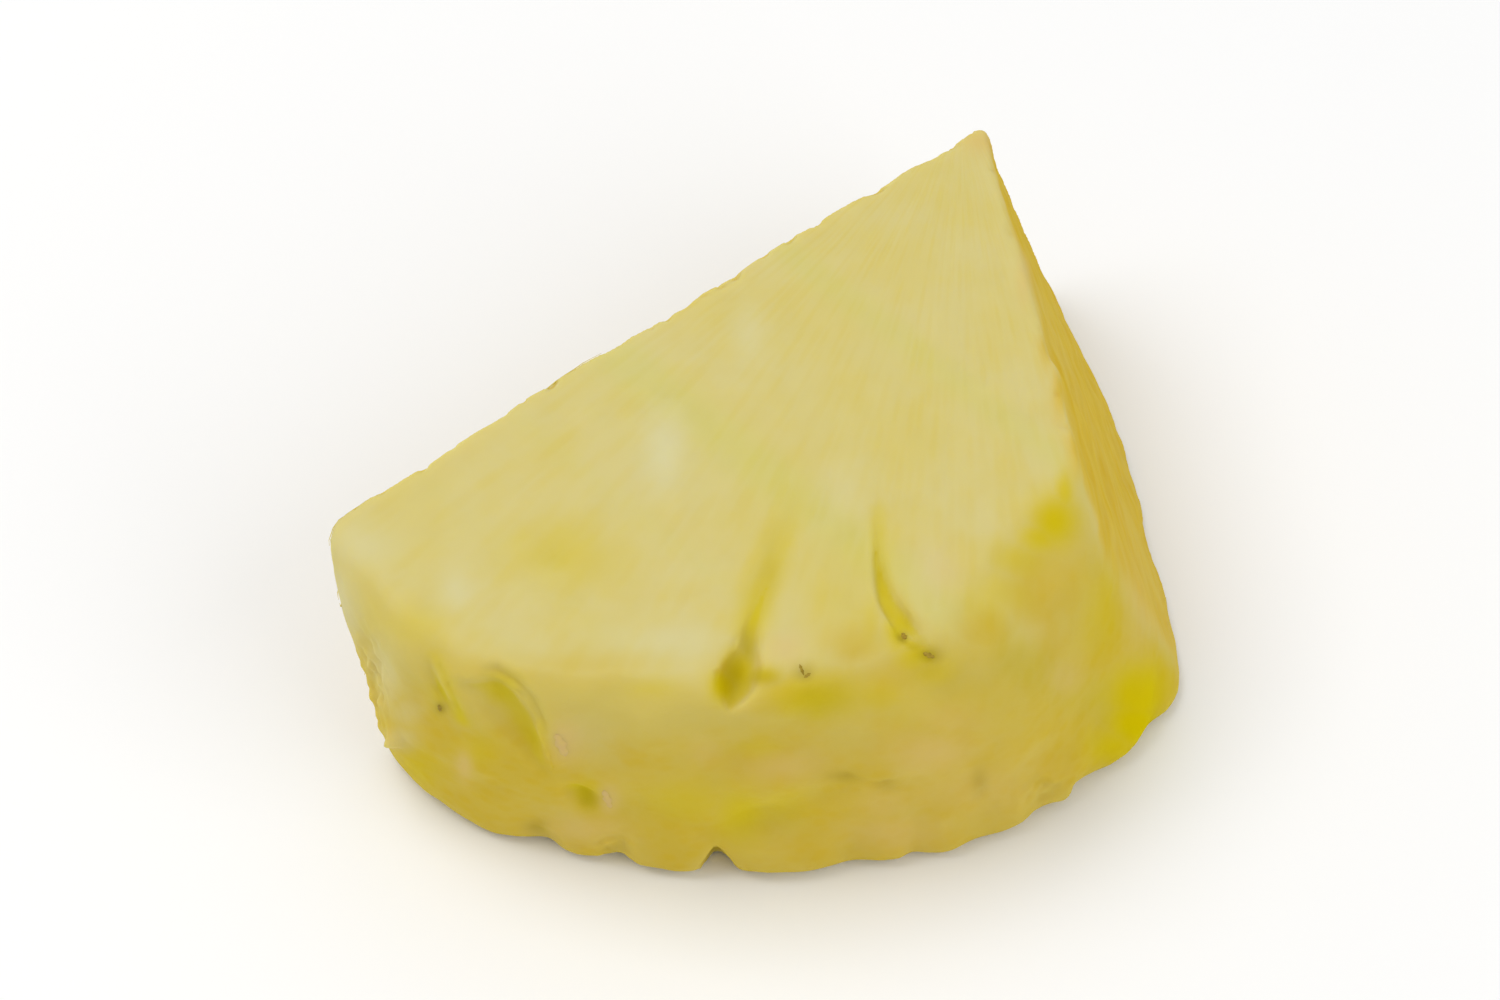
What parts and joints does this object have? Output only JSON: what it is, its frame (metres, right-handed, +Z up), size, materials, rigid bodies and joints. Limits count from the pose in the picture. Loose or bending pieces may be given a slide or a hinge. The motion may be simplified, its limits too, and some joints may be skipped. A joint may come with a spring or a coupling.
{
  "type": "pineapple slice",
  "caption": "Thick wedge of fresh, peeled pineapple, tapering from its lobed, furrowed outer rim to a sharp core tip, resting on its flat sliced face.",
  "frame": {"origin": "middle of the bounding box, on the surface that the slice lies on", "axes": "+X across the wedge along its rim, +Y from the rim towards the core tip, +Z up out of the upper sliced face"},
  "size_m": [0.055, 0.05, 0.0202],
  "materials": {
    "flesh": "satin",
    "eye_fleck": "matte",
    "bract": "satin"
  },
  "bodies": {
    "root": {"slice": "flesh"}
  },
  "joints": []
}
